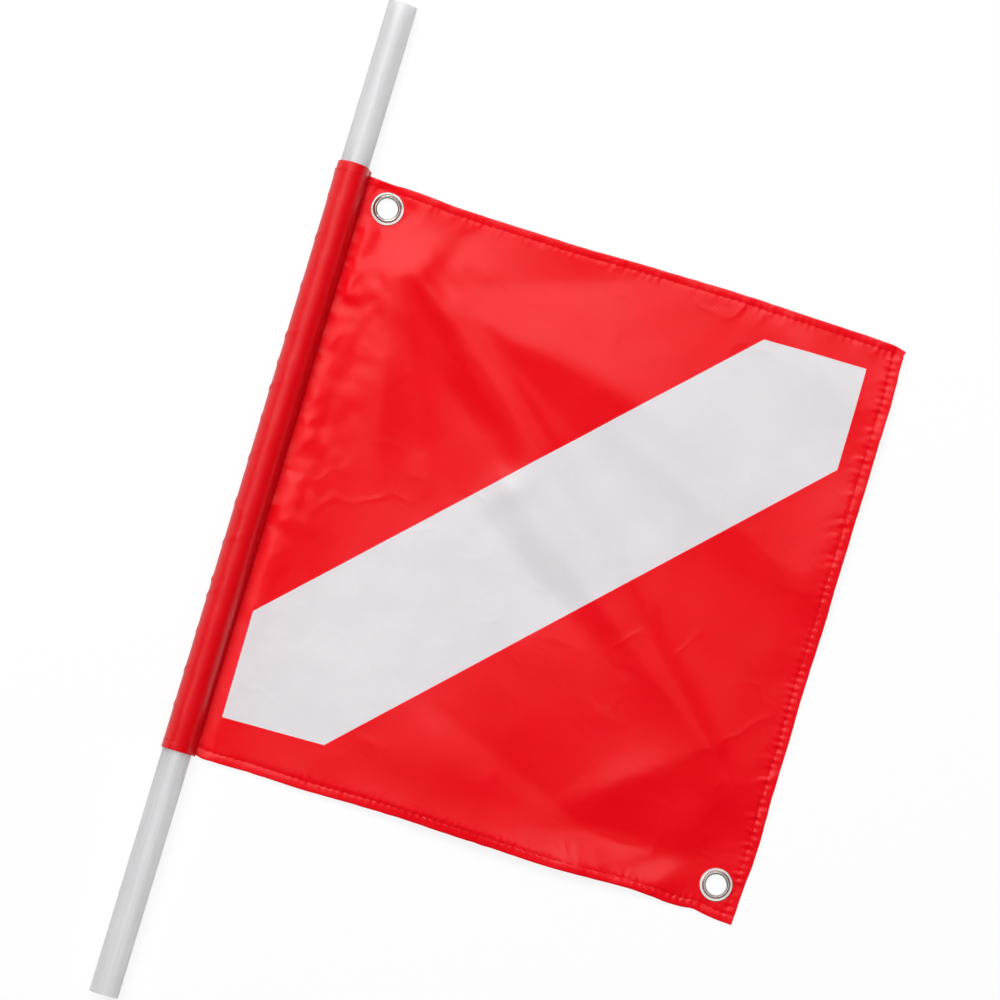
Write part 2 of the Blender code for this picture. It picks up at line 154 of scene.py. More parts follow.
def loftFaces(rings, count, closedAlong=False, capped=True):
    faces = []
    for ring in range(rings if closedAlong else rings - 1):
        here, there = ring * count, (ring + 1) % rings * count
        for spot in range(count):
            after = (spot + 1) % count
            faces.append((here + spot, here + after, there + after, there + spot))
    if capped and not closedAlong:
        faces += [tuple(range(count)), tuple(range((rings - 1) * count, rings * count))]
    return faces


def turned(name, profile, sides, center, lengthwise, sharpDegrees):
    # A profile of radius and height, turned about a lengthwise or an upright axis
    profile = np.array(profile) * mm
    radius, height = profile[:, 0], profile[:, 1]
    vertices = []
    for angle in np.arange(sides) * 2 * math.pi / sides:
        first, second = center[0] + radius * math.cos(angle), center[1] + radius * math.sin(angle)
        vertices.append(np.column_stack((first, height, second) if lengthwise else (first, second, height)))
    faces = loftFaces(sides, len(profile), closedAlong=True)
    return finishMesh(name, vertices, faces, None, sharpDegrees, recalculate=True)


# Outline of the flag and its hems, millimetres on the table

outline = {
    "top": (
        (-136, 174.4), (-132, 174.1), (-126, 173.6), (-112, 173.5), (-104, 173.1), (-90, 172.1),
        (-74, 171.6), (-45, 171.2), (-15, 170.9), (2, 171.4), (15, 171.5), (45, 171.6), (62, 171.6),
        (90, 170.8), (120, 170.1), (140, 169.5), (148, 168.9), (151, 168.2), (154, 167.2),
    ),
    "bottom": (
        (-136, -133.2), (-134, -133.6), (-131, -134.3), (-126, -134.5), (-110, -134.3), (-79, -134.9),
        (-47, -134.5), (-30, -134.5), (0, -135.3), (31, -136.1), (47, -136.6), (62, -136.5),
        (79, -135.8), (94, -135.3), (108, -135.8), (117, -136.5), (124, -136.4), (130, -135.8),
        (136, -136.8), (142, -137.6), (151.5, -138.2),
    ),
    "fly": (
        (-139, 150.8), (-136, 151.0), (-132, 151.4), (-126, 151.6), (-117, 152.1), (-107, 152.9),
        (-98, 153.1), (-84, 152.9), (-70, 152.6), (-42, 152.9), (-18, 152.6), (8, 153.0), (20, 153.2),
        (36, 153.0), (65, 153.2), (95, 153.4), (125, 153.5), (140, 153.8), (150, 153.5), (156, 153.2),
        (160, 153.0), (170, 153.3),
    ),
    "topHem": -4.0,  # how far in each hem's row of stitches lies
    "bottomHem": 4.6,
    "flyHem": -5.1,
}


def edgeOf(side, at):
    return curveThrough(outline[side], at)


def rowOf(side, at):
    return edgeOf(side, at) + outline[side + "Hem"] * mm


def spotsOn(side, steps, values):
    return np.column_stack((values, steps) if side == "fly" else (steps, values))


def fromRow(side, x, y):
    # Place along a hem's row of stitches, and how far inside the row
    along, across = (y, x) if side == "fly" else (x, y)
    inward = -math.copysign(1, outline[side + "Hem"])
    return along, inward * (rowOf(side, along) - across)


# How the cloth lies. Each fold: its middle, direction in degrees, half length, width on its left and right, height.

folds = (
    (-35, 115, 167, 51, 11.7, 14.9, 2.4), (21, 106, 161, 64, 20.7, 31.9, 4.0), (80, 63, 156, 90, 15.4, 29.3, 3.3),
    (-27, 87, 140, 67, 7.2, 6.4, 2.0), (22, 28, 139, 54, 13.1, 11.3, 3.6), (58, -15, 144, 90, 13.4, 14.1, 3.4),
    (111, -52, 134, 90, 45.0, 7.6, 2.4), (45, -103, 158, 84, 9.8, 25.0, -1.9), (22, -131, 178, 90, 3.0, 7.1, 1.0),
    (-93, -35, 83, 90, 18.7, 22.0, -0.9), (-108, 116, 104, 73, 10.7, 11.6, 3.3),
    (-12, -103, 130, 64, 45.0, 45.0, 5.4), (79, -84, 39, 39, 13.1, 15.0, 2.4), (-112, 118, 151, 90, 9.7, 10.8, 1.4),
    (133, -92, 125, 14, 7.5, 24.9, -2.2), (119, 143, 148, 46, 17.9, 15.2, 3.8), (-23, 151, 19, 65, 21.1, 14.8, -1.7),
    (17, -5, 149, 27, 16.6, 14.9, -2.2), (119, -125, 110, 8, 36.2, 7.4, 2.4), (155, 103, 76, 86, 18.0, 45.0, 2.8),
    (-53, 90, 135, 28, 5.6, 11.2, 1.7), (-105, 151, 62, 11, 3.0, 5.0, -1.0), (-91, 141, 150, 90, 7.6, 10.4, 2.1),
    (-107, 131, 116, 90, 7.6, 7.0, 1.9), (113, -112, 180, 90, 7.7, 8.6, -0.9), (-84, 145, 65, 70, 21.7, 18.3, -2.0),
    (-93, 147, 172, 56, 13.1, 16.7, 3.1), (-120, -10, 90, 81, 3.0, 14.6, -0.8), (-100, 147, 43, 62, 12.4, 8.8, 0.8),
    (-105, 139, 52, 28, 15.5, 15.7, -2.2), (-29, 78, 140, 71, 7.8, 7.2, 2.3), (-36, 61, 142, 82, 14.4, 45.0, -2.2),
    (-105, 140, 14, 9, 6.6, 19.0, -2.1), (-114, 141, 9, 16, 5.2, 9.7, -1.7), (139, -110, 93, 18, 4.8, 14.0, -1.5),
    (-15, 50, 119, 59, 12.1, 21.2, 3.4), (-118, 143, 15, 13, 3.0, 15.9, -1.0), (-20, 41, 137, 8, 17.9, 13.2, 2.0),
    (71, -132, 31, 80, 24.7, 26.2, 4.8), (-34, 57, 129, 61, 7.4, 17.6, 1.4), (-115, 143, 37, 16, 3.0, 4.3, -1.0),
    (-18, 18, 150, 76, 10.4, 16.8, -1.1), (-121, -7, 112, 15, 10.1, 9.8, 3.1), (-108, 139, 141, 43, 19.4, 10.5, 0.6),
    (-117, 141, 28, 15, 3.0, 9.1, -1.0), (-96, 130, 144, 46, 15.6, 8.7, 1.4), (100, -116, 2, 53, 23.2, 26.7, -0.6),
    (-122, 4, 74, 16, 13.2, 7.7, 2.5), (-113, 151, 129, 37, 8.1, 7.6, 2.4), (-122, 14, 89, 17, 8.0, 6.3, 2.0),
    (-119, 131, 44, 29, 8.9, 9.8, -1.1), (99, -115, 3, 51, 23.8, 27.0, -0.9), (-77, 31, 152, 42, 27.9, 26.9, -0.8),
    (-117, 147, 137, 41, 21.7, 12.7, 2.7), (-119, 7, 89, 13, 3.0, 5.1, -1.0), (96, -110, 8, 47, 23.1, 27.4, -1.3),
    (-100, 87, 162, 55, 27.9, 30.5, 1.3), (-122, 119, 76, 50, 19.0, 17.8, 2.9), (-122, 143, 73, 42, 8.5, 9.2, 2.7),
    (-90, 129, 142, 45, 11.3, 7.8, 2.5), (97, -114, 6, 47, 25.4, 27.1, -1.6), (-119, 8, 93, 14, 3.0, 4.8, -1.0),
    (-105, 146, 27, 11, 4.8, 3.8, -0.8),
)
clothForm = {
    "crest": 1.5,  # 2 rounds the folds, 1 makes them pointed
    "lowest": -0.75,
    "crinkles": ((0.15, 17, 11), (0.09, 8.5, 12)),  # height, size, seed
    "crinkleLean": (0.4, 0.2),
    "restLift": 0.7,
    "restStart": 62,  # the level cloth rises this far from the seam
    "seamRise": 42,
    "seamBulge": 1.5,  # right beside the seam it stands up and then falls away
    "bulgeStart": 8.0,
    "bulgeReach": 16,
    "bulgeSway": ((0.2, 21, 15), (0.15, 6, 16)),  # share, size, seed
    "washerClear": 9.0,  # level ground round an eyelet, from which each shape rises over its own length
    "washerRise": 28,
    "restRise": 26,
    "bulgeRise": 6,
    "puckerRise": 2,
    "rayRise": 1.5,
    "washerPucker": 0.16,  # gathers that run out from the washer
    "rayPitch": 1.9,
    "rayReach": 4,
    "raySeed": 61,
    "puckers": ((1, 3.1), (0.9, 5.7)),  # share, size
    "puckerSpread": (0.65, 0.35, 19),  # level, share, size
    "puckerReach": 4.2,
    "puckerSlant": 0.5,
    "grooveDepth": 0.24,
    "grooveWidth": 0.75,
    "dimpleReach": 2.4,  # each stitch pulls a small dimple
    "dimpleSpread": (0.7, 0.5, 9),
    "hemRows": {  # height of the gathers and of the dimples, seed
        "top": (0.28, 0.20, 21), "bottom": (0.30, 0.20, 31), "fly": (0.46, 0.34, 41),
    },
    "seamPucker": 0.62,
    "seamReach": 3.0,
    "seamSlant": 0.1,
    "seamSeed": 51,
    "seamFade": (0.45, -60, 40),  # share low down, where it ends, where it is whole
    "crumpleHeight": 0.60,  # small crumples a little way from the seam
    "crumpleStart": (2, 7),
    "crumpleReach": 24,
    "crumples": ((1, 0, 0.8, 5, 71), (0.8, 0.5, 1, 9, 72)),  # share, lean, stretch, size, seed
}
# Thread and rows of stitches. The cloth's dimples read their pitch.
stitching = {
    "pitch": 3.8,
    "length": 2.7,
    "handleShare": 0.36,
    "threadRadius": 0.17,
    "threadSides": 6,
    "rise": 0.34,
    "dip": 0.30,
    "seed": 7,
    "sway": ((-0.05, -0.06, -0.11), (0.05, 0.06, 0.11)),
    "stretch": ((0.86, 0.94, 0.9), (1.1, 1.06, 1.1)),
    "guideStep": 1.0,
    "rows": {"top": (-132.7, 151.5), "bottom": (-132.7, 149.0), "fly": (-133.2, 164.0)},  # start, end
    "offCloth": ((1, 0.12), (-1, 0.40)),  # above and below the middle of the cloth
    "seamInset": 0.15,
    "offLip": 0.27,
    "seamEnds": 2,
    "pastBand": 0.1,
    "offSleeve": 0.03,
}


def foldLift(x, y):
    total = np.zeros_like(x)
    for middleX, middleY, degrees, halfLength, leftWidth, rightWidth, height in folds:
        angle = math.radians(degrees)
        offX, offY = x - middleX * mm, y - middleY * mm
        along = offX * math.cos(angle) + offY * math.sin(angle)
        across = offY * math.cos(angle) - offX * math.sin(angle)
        width = np.where(across > 0, leftWidth, rightWidth) * mm
        profile = (along / (halfLength * mm)) ** 2 + np.abs(across / width) ** clothForm["crest"]
        total += height * mm * np.exp(-profile)
    return total


def puckerLift(along, distance, height, seed, reach=clothForm["puckerReach"], slant=clothForm["puckerSlant"]):
    # Gathers beside a row of stitches, with the row itself pulled down
    shifted = along + slant * distance
    ripple = sum(share * wave(shifted, size, seed + turn) for turn, (share, size) in enumerate(clothForm["puckers"]))
    spread = uneven(along, clothForm["puckerSpread"], seed + 2)
    gathers = height * mm * ripple * spread * np.exp(-np.abs(distance) / (reach * mm))
    return gathers - clothForm["grooveDepth"] * mm * bell(distance / (clothForm["grooveWidth"] * mm))


def dimples(along, distance, height, seed):
    ripple = np.cos(2 * math.pi * along / (stitching["pitch"] * mm))
    strength = uneven(along, clothForm["dimpleSpread"], seed)
    return -height * mm * ripple * strength * bell(distance / (clothForm["dimpleReach"] * mm))


def pastWasher(distance, rise):
    clear = clothForm["washerClear"] * mm
    return smoothStep(clear, clear + clothForm[rise] * mm, distance)


def clothLift(x, y):
    form = clothForm
    x, y = np.asarray(x, float), np.asarray(y, float)
    fromSeam = x - seamX
    lift = foldLift(x, y)
    leanX, leanY = form["crinkleLean"]
    for height, size, seed in form["crinkles"]:
        lift += height * mm * waviness(x + leanX * y, y - leanY * x, size * mm, seed)
    rest = form["restLift"] * mm * smoothStep(0, form["restStart"] * mm, fromSeam)
    bulge = smoothStep(0, form["bulgeStart"] * mm, fromSeam) * bell(fromSeam / (form["bulgeReach"] * mm))
    bulge *= form["seamBulge"] * mm * sum((share * wave(y, size, seed) for share, size, seed in form["bulgeSway"]), 1)
    puckers = puckerLift(y, fromSeam, form["seamPucker"], form["seamSeed"], form["seamReach"], form["seamSlant"])
    start, end = (value * mm for value in form["crumpleStart"])
    crumples = smoothStep(start, end, fromSeam) * bell(fromSeam / (form["crumpleReach"] * mm))
    crumples *= sum(share * waviness(x + lean * y, stretch * y, size * mm, seed)
                    for share, lean, stretch, size, seed in form["crumples"])
    low, start, end = form["seamFade"]
    puckers += form["crumpleHeight"] * mm * crumples
    puckers *= low + (1 - low) * smoothStep(start * mm, end * mm, y)
    for side, (height, dimple, seed) in form["hemRows"].items():
        along, distance = fromRow(side, x, y)
        fromFirst = along - stitching["rows"][side][0] * mm
        puckers += puckerLift(along, distance, height, seed) + dimples(fromFirst, distance, dimple, seed + 3)
    for centerX, centerY in eyeletSpots:
        distance, angle = np.hypot(x - centerX, y - centerY), np.arctan2(y - centerY, x - centerX)
        lift *= pastWasher(distance, "washerRise")
        rest *= pastWasher(distance, "restRise")
        bulge *= pastWasher(distance, "bulgeRise")
        puckers *= pastWasher(distance, "puckerRise")
        rays = waviness(angle * form["rayPitch"], 0 * angle, 1.0, form["raySeed"]) * pastWasher(distance, "rayRise")
        fromWasher = np.maximum(distance - form["washerClear"] * mm, 0)
        puckers += form["washerPucker"] * mm * rays * np.exp(-fromWasher / (form["rayReach"] * mm))
    lift = lift * smoothStep(0, form["seamRise"] * mm, fromSeam) + rest + bulge
    return np.maximum(lift + puckers, form["lowest"] * mm)


# Flag cloth: a fine sheet cut along the printed band, with both eyelet holes

band = {
    "corners": (
        (-127.4, -55.3), (-126.9, -111.3), (-73.4, -110.1), (136.8, 99.4), (136.5, 153.2), (82.0, 152.5),
    ),
    "step": 1.2,
    "gap": 0.5,  # the filling keeps this far off the band's edge
}
sheetForm = {
    "coarse": 2.1,
    "fine": 0.95,
    "fineMargin": 7.5,
    "outlineStep": 0.9,
    "cornerX": 154,
    "holeRadius": 5.95,
    "holeGap": 0.4,
    "holeSides": 48,
    "fineRound": 15,
}


def pathPoints(corners, step):
    points = []
    for start, end in zip(corners, np.roll(corners, -1, axis=0)):
        count = max(1, int(round(np.linalg.norm(end - start) / step)))
        points += [start + (end - start) * index / count for index in range(count)]
    return np.array(points)


def insideLoop(spots, loop):
    inside = np.zeros(len(spots), bool)
    x, y = spots[:, 0], spots[:, 1]
    for (ax, ay), (bx, by) in zip(loop, np.roll(loop, -1, axis=0)):
        crosses = (ay > y) != (by > y)
        if ay != by:
            inside ^= crosses & (x < (bx - ax) * (y - ay) / (by - ay) + ax)
    return inside


def fieldOutline():
    step = sheetForm["outlineStep"] * mm
    xs = np.arange(seamX, sheetForm["cornerX"] * mm, step)
    edges = []
    for side in ("top", "bottom"):
        ys = rowOf(side, xs)
        keep = xs < rowOf("fly", ys) - step / 2
        edges.append(spotsOn(side, xs[keep], ys[keep]))
    top, bottom = edges
    highY, lowY = top[-1, 1], bottom[-1, 1]
    count = int((highY - lowY) / step)
    ys = np.linspace(highY, lowY, count)
    fly = spotsOn("fly", ys, rowOf("fly", ys))
    ys = np.linspace(bottom[0, 1], top[0, 1], count)[1:-1]
    hoist = spotsOn("fly", ys, np.full(len(ys), seamX))
    return np.vstack((top, fly, bottom[::-1], hoist))


def hexSpots(step, low, high):
    spots = []
    for row, y in enumerate(np.arange(low[1], high[1], step * math.sqrt(0.75))):
        xs = np.arange(low[0] + (row % 2) * step / 2, high[0], step)
        spots.append(np.column_stack((xs, np.full(len(xs), y))))
    return np.vstack(spots)


def distanceToLoop(spots, loop):
    nearest = np.full(len(spots), 1.0)
    for start, end in zip(loop, np.roll(loop, -1, axis=0)):
        along = end - start
        share = np.clip(((spots - start) @ along) / (along @ along), 0, 1)
        nearest = np.minimum(nearest, np.linalg.norm(spots - start - share[:, None] * along, axis=1))
    return nearest


def roundLoop(center, radius, count):
    angles = np.arange(count) * 2 * math.pi / count
    return center + radius * np.column_stack((np.cos(angles), np.sin(angles)))


def eyeletGap(spots):
    return np.min([np.hypot(*(spots - spot).T) for spot in eyeletSpots], axis=0)


def cutSheet():
    form = sheetForm
    border = fieldOutline()
    bandCorners = np.array(band["corners"]) * mm
    bandLoop = pathPoints(bandCorners, band["step"] * mm)
    hole = form["holeRadius"] * mm
    filling = []
    for name in ("fine", "coarse"):
        spots = hexSpots(form[name] * mm, border.min(axis=0), border.max(axis=0))
        toEyelet, edgeGap = eyeletGap(spots), distanceToLoop(spots, border[::4])
        near = (edgeGap < form["fineMargin"] * mm) | (toEyelet < form["fineRound"] * mm)
        inCloth = (toEyelet > hole + form["holeGap"] * mm) & (edgeGap > form["fine"] * mm / 2)
        filling.append(spots[inCloth & (near == (name == "fine"))])
    filling = np.vstack(filling)
    filling = filling[insideLoop(filling, border)]
    filling = filling[distanceToLoop(filling, bandCorners) > band["gap"] * mm]
    spots, links = [], []
    for loop in (border, bandLoop, *(roundLoop(spot, hole, form["holeSides"]) for spot in eyeletSpots)):
        first = sum(len(part) for part in spots)
        links += [(first + index, first + (index + 1) % len(loop)) for index in range(len(loop))]
        spots.append(loop)
    spots.append(filling)
    result = delaunay_2d_cdt([Vector(spot) for spot in np.vstack(spots)], links, [], 0, 1e-7)
    points, triangles = (np.array([tuple(item) for item in result[part]]) for part in (0, 2))
    middles = points[triangles].mean(axis=1)
    use = insideLoop(middles, border) & (eyeletGap(middles) > hole * math.cos(math.pi / form["holeSides"]))
    inBand = insideLoop(middles, bandLoop)
    return points, triangles[use & ~inBand], triangles[use & inBand]


def sheetShell(name, points, triangles):
    used, compact = np.unique(triangles, return_inverse=True)
    triangles = compact.reshape(-1, 3)
    spots = points[used]
    a, b, c = (spots[triangles[:, corner]] for corner in range(3))
    doubled = (b[:, 0] - a[:, 0]) * (c[:, 1] - a[:, 1]) - (b[:, 1] - a[:, 1]) * (c[:, 0] - a[:, 0])
    triangles[doubled < 0] = triangles[doubled < 0][:, ::-1]
    count = len(spots)
    lifts = clothZ + clothLift(spots[:, 0], spots[:, 1])
    upper = np.column_stack((spots, lifts + clothThickness / 2))
    lower = np.column_stack((spots, lifts - clothThickness / 2))
    sides = {}
    for corners in triangles.tolist():
        for start, end in zip(corners, corners[1:] + corners[:1]):
            if sides.pop((end, start), None) is None:
                sides[(start, end)] = True
    faces = triangles.tolist() + (triangles[:, ::-1] + count).tolist()
    faces += [(start, start + count, end + count, end) for start, end in sides]
    piece = finishMesh(name, (upper, lower), faces, (spots, spots), 55)
    return piece, float(np.abs(doubled).sum() / 2)


points, fieldTriangles, bandTriangles = cutSheet()
flagField, fieldArea = sheetShell("flagField", points, fieldTriangles)
whiteBand, bandArea = sheetShell("whiteBand", points, bandTriangles)
print("cloth laid:", len(fieldTriangles), "and", len(bandTriangles), "triangles a side,",
      round(fieldArea, 4), "and", round(bandArea, 4), "square metres")


# Hems: the edge folded under twice, seen from both sides

hemForm = {
    "step": 0.8,
    "puff": 0.36,  # how far the folded layers stand off the cloth's middle
    "underReach": 1.3,  # the folded edge shows this far inside the stitches, underneath
    "wobble": 0.10,
    "wobbleSize": 4.6,
    "squareEnd": 4,  # beside the seam a hem turns square to it
    "top": (layout["seamX"], 153.6, 71),  # start, end, seed
    "bottom": (151.0, layout["seamX"], 72),
    "fly": (164.6, -134.6, 73),
}


def hemSection(width):
    puff, under = hemForm["puff"], hemForm["underReach"]
    w = width / mm
    return np.array((
        (0.0, 0.11), (0.35, 0.15), (0.9, puff * 0.58), (w * 0.45, puff * 0.8), (w - 1.0, puff),
        (w - 0.4, puff * 0.84), (w - 0.08, puff * 0.42), (w, 0.0), (w - 0.08, -puff * 0.4),
        (w - 0.35, -puff * 0.8), (w - 0.9, -puff), (w * 0.4, -puff * 1.05), (0.2, -puff * 1.1),
        (0.2 - under, -puff * 1.1), (-under - 0.02, -puff * 0.95), (-under, -0.3), (0.0, -0.14),
    )) * mm


def makeHem(side):
    start, end, seed = hemForm[side]
    start, end, width = start * mm, end * mm, abs(outline[side + "Hem"]) * mm
    steps = np.linspace(start, end, int(abs(end - start) / (hemForm["step"] * mm)))
    outer = spotsOn(side, steps, edgeOf(side, steps))
    tangents = np.gradient(outer, axis=0)
    tangents /= np.linalg.norm(tangents, axis=1)[:, None]
    inward = np.column_stack((tangents[:, 1], -tangents[:, 0]))
    inward[:, 0] *= smoothStep(0, hemForm["squareEnd"] * mm, outer[:, 0] - seamX)
    inward /= np.linalg.norm(inward, axis=1)[:, None]
    section = hemSection(width)
    along = np.concatenate(([0], np.cumsum(np.linalg.norm(np.diff(outer, axis=0), axis=1))))
    wobble = hemForm["wobble"] * mm * wave(along, hemForm["wobbleSize"], seed)
    vertices, uv = [], []
    for station, spot in enumerate(outer):
        across = section[:, 0] + wobble[station] * smoothStep(0, width, section[:, 0])
        flat = spot + inward[station] * (width - across)[:, None]
        vertices.append(np.column_stack((flat, clothZ + clothLift(*flat.T) + section[:, 1])))
        uv.append(flat)
    faces = loftFaces(len(outer), len(section))
    return finishMesh(side + "Hem", vertices, faces, uv, 50, recalculate=True)


topHem, bottomHem, flyHem = (makeHem(side) for side in ("top", "bottom", "fly"))
print("hems folded")


# Sleeve round the pole: loose on its left side, drawn tight into the seam on its right

sleeveForm = {
    "radius": 8.10,
    "shiftLeft": 0.35,
    "shiftDown": 0.35,
    "thickness": 0.22,
    "leastRadius": 7.74,
    "leastHollow": 7.53,
    "tipReach": 8.55,  # the teardrop comes to its tip this far right of the pole's axis
    "lip": (  # from the tip, across and up
        (-2.4, -0.47), (0.1, -0.25), (0.63, -0.25), (0.75, -0.125), (0.75, 0.125),
        (0.63, 0.25), (0.45, 0.30), (0.2, 0.55), (0.02, 1.2), (-0.05, 2.6),
    ),
    "hollowLip": ((-0.6, 0.25), (-0.42, 0.9)),
    "lipPucker": 0.5,
    "bandLipPucker": 0.2,
    "arcSteps": 56,
    "rowStep": 0.8,
    "wrinkleShare": 1.15,
    "perDegree": 0.14,  # millimetres round the sleeve
    "ripple": 0.07,
    "rippleSizes": (7, 4),  # down the sleeve, and for a radian round it
    "rippleSide": (-0.6, 0.4),
    "rippleSeed": 81,
    "swellSide": (-0.75, -0.2),
    "swellLean": 0.3,
    "flare": 0.55,  # just below the top band the cloth stands out
    "flareReach": 9,
    "flareDegrees": 75,
    "bandLength": 4.3,
    "bandShares": (0, 0.03, 0.12, 0.5, 0.88, 0.97, 1.0),
    "bandRound": 0.12,
    "bandDip": 0.14,
    "topShrink": 0.16,
    "topSwell": 0.35,
    "topSwellReach": 1.1,
    "topBow": 0.7,
    "bottomShrink": -0.06,
}
sleeveWrinkles = (  # place down the sleeve, lean, height, half width, reach round from the left side
    (18, -0.35, 0.22, 1.6, 70), (41, 0.5, 0.30, 1.2, 55), (66, -0.6, 0.26, 1.4, 60), (93, 0.35, 0.42, 1.5, 60),
    (107, -0.5, 0.34, 1.1, 50), (121, 0.45, 0.45, 1.3, 62), (136, -0.3, 0.28, 1.6, 60), (158, 0.6, 0.30, 1.4, 50),
    (181, -0.5, 0.32, 1.6, 66), (203, 0.4, 0.24, 1.5, 60), (222, -0.45, 0.42, 1.4, 58), (231, 0.5, 0.36, 1.2, 52),
    (249, -0.35, 0.25, 1.7, 60), (270, 0.5, 0.28, 1.4, 66), (288, -0.4, 0.32, 1.5, 64),
)


def sleeveSection(radius):
    # The lip at the seam, then the arc over the pole and back under it, and the hollow inside
    form = sleeveForm
    tip = np.array((form["tipReach"], (clothZ - poleZ) / mm))
    center = np.array((-form["shiftLeft"], -form["shiftDown"]))
    reach, toTip = math.hypot(*(tip - center)), math.atan2(*(tip - center)[::-1])

    def arcOf(size):
        lean = math.acos(size / reach)
        angles = np.linspace(toTip + lean, toTip + 2 * math.pi - lean, form["arcSteps"])
        return angles, center + size * np.column_stack((np.cos(angles), np.sin(angles)))

    angles, arc = arcOf(radius)
    _, hollowArc = arcOf(radius - form["thickness"])
    return tip + form["lip"], angles, arc, tip + form["hollowLip"], hollowArc


def outwardFrom(arc):
    offsets = arc + (sleeveForm["shiftLeft"], sleeveForm["shiftDown"])
    return offsets / np.linalg.norm(offsets, axis=1)[:, None]


def roundPole(section, y):
    return np.column_stack((poleX + section[:, 0] * mm, y + 0 * section[:, 0], poleZ + section[:, 1] * mm))


def heldOff(section, least):
    return section * np.maximum(1, least / np.linalg.norm(section, axis=1)[:, None])


def sleeveSwell(angles, y):
    # Outward wrinkles on the upper and left side
    form = sleeveForm
    fromLeft = np.degrees(math.pi - angles)
    down = layout["sleeveTop"] - y / mm
    swell = np.zeros_like(angles)
    for place, lean, height, halfWidth, reach in sleeveWrinkles:
        distance = (down - place + lean * fromLeft * form["perDegree"]) / halfWidth
        swell += form["wrinkleShare"] * height * bell(distance) * bell(fromLeft / reach)
    size, radian = form["rippleSizes"]
    ripple = waviness(y + 0 * angles, angles * radian * mm, size * mm, form["rippleSeed"])
    swell += form["ripple"] * ripple * smoothStep(*form["rippleSide"], np.sin(angles))
    below = max(0.0, down - form["bandLength"])
    swell += form["flare"] * math.exp(-below / form["flareReach"]) * bell(fromLeft / form["flareDegrees"])
    return swell * smoothStep(*form["swellSide"], np.sin(angles) - form["swellLean"] * np.cos(angles))


def bandSwell(angles, share, swollen):
    form = sleeveForm
    edge = 1 - min(1, min(share, 1 - share) / form["bandRound"]) ** 0.5
    return form["topSwell"] * swollen * bell((math.pi - angles) / form["topSwellReach"]) - form["bandDip"] * edge


def makeSleeve(name, highY, lowY, shrink=0.0, banded=True, bow=0.0):
    form = sleeveForm
    lip, angles, arc, hollowLip, hollowArc = sleeveSection(form["radius"] - shrink)
    outward = outwardFrom(arc)
    if banded:
        shares, lipPucker = np.array(form["bandShares"]), form["bandLipPucker"]
    else:
        shares, lipPucker = np.linspace(0, 1, int((highY - lowY) / form["rowStep"] / mm)), form["lipPucker"]
    steps = np.linalg.norm(np.diff(np.vstack((lip, arc)), axis=0), axis=1)
    girth = np.concatenate(([0], np.cumsum(steps)))
    vertices, uv = [], []
    for share in shares:
        y = highY + (lowY - highY) * share
        swell = bandSwell(angles, share, highY > 0) if banded else sleeveSwell(angles, y)
        ring = np.vstack((lip, heldOff(arc + outward * swell[:, None], form["leastRadius"])))
        puckers = puckerLift(np.full(len(lip), y), np.zeros(len(lip)), clothForm["seamPucker"], clothForm["seamSeed"])
        ring[:len(lip), 1] += (puckers / mm + clothForm["grooveDepth"]) * lipPucker
        ys = np.full(len(ring), y)
        ys[len(lip):] += bow * mm * np.clip(np.sin(angles), 0, 1) * (1 - share)
        vertices.append(roundPole(ring, ys))
        uv.append(np.column_stack((seamX - girth * mm, ys)))
    hollow = np.vstack((hollowLip, heldOff(hollowArc, form["leastHollow"])))
    for y in (highY, lowY):
        vertices.append(roundPole(hollow, y))
        uv.append(np.column_stack((seamX - hollow[:, 0] * mm, y + 0 * hollow[:, 0])))
    ringSize, hollowSize = len(lip) + len(arc), len(hollow)
    outerCount = len(shares) * ringSize
    faces = loftFaces(len(shares), ringSize, capped=False)
    faces += [tuple(outerCount + index for index in face) for face in loftFaces(2, hollowSize, capped=False)]
    for ringStart, hollowStart in ((0, outerCount), (outerCount - ringSize, outerCount + hollowSize)):
        firstArc, firstHollow = ringStart + len(lip), hollowStart + len(hollowLip)
        for step in range(len(arc) - 1):
            faces.append((firstArc + step, firstArc + step + 1, firstHollow + step + 1, firstHollow + step))
        faces.append((*range(ringStart, firstArc + 1), firstHollow, hollowStart + 1, hollowStart,
                      hollowStart + hollowSize - 1, ringStart + ringSize - 1))
    return finishMesh(name, vertices, faces, uv, 50, recalculate=True)


sleeveHigh, sleeveLow = layout["sleeveTop"] * mm, layout["sleeveBottom"] * mm
bandLength = sleeveForm["bandLength"] * mm
sleeveCloth = makeSleeve("sleeveCloth", sleeveHigh - bandLength, sleeveLow + bandLength, banded=False)
sleeveTopBand = makeSleeve("sleeveTopBand", sleeveHigh, sleeveHigh - bandLength, sleeveForm["topShrink"],
                           bow=sleeveForm["topBow"])
sleeveBottomBand = makeSleeve("sleeveBottomBand", sleeveLow + bandLength, sleeveLow, sleeveForm["bottomShrink"])
print("sleeve wrapped")


# Pole: a plain extruded tube, its cut ends slightly rounded

pole = {
    "length": 525,
    "radius": 7.5,
    "wall": 1.5,
    "rounding": 0.35,
    "sides": 96,
    "endRings": 4,
    "plainEnd": 20,  # the long face starts this far from the cut ends
    "rings": 9,
}


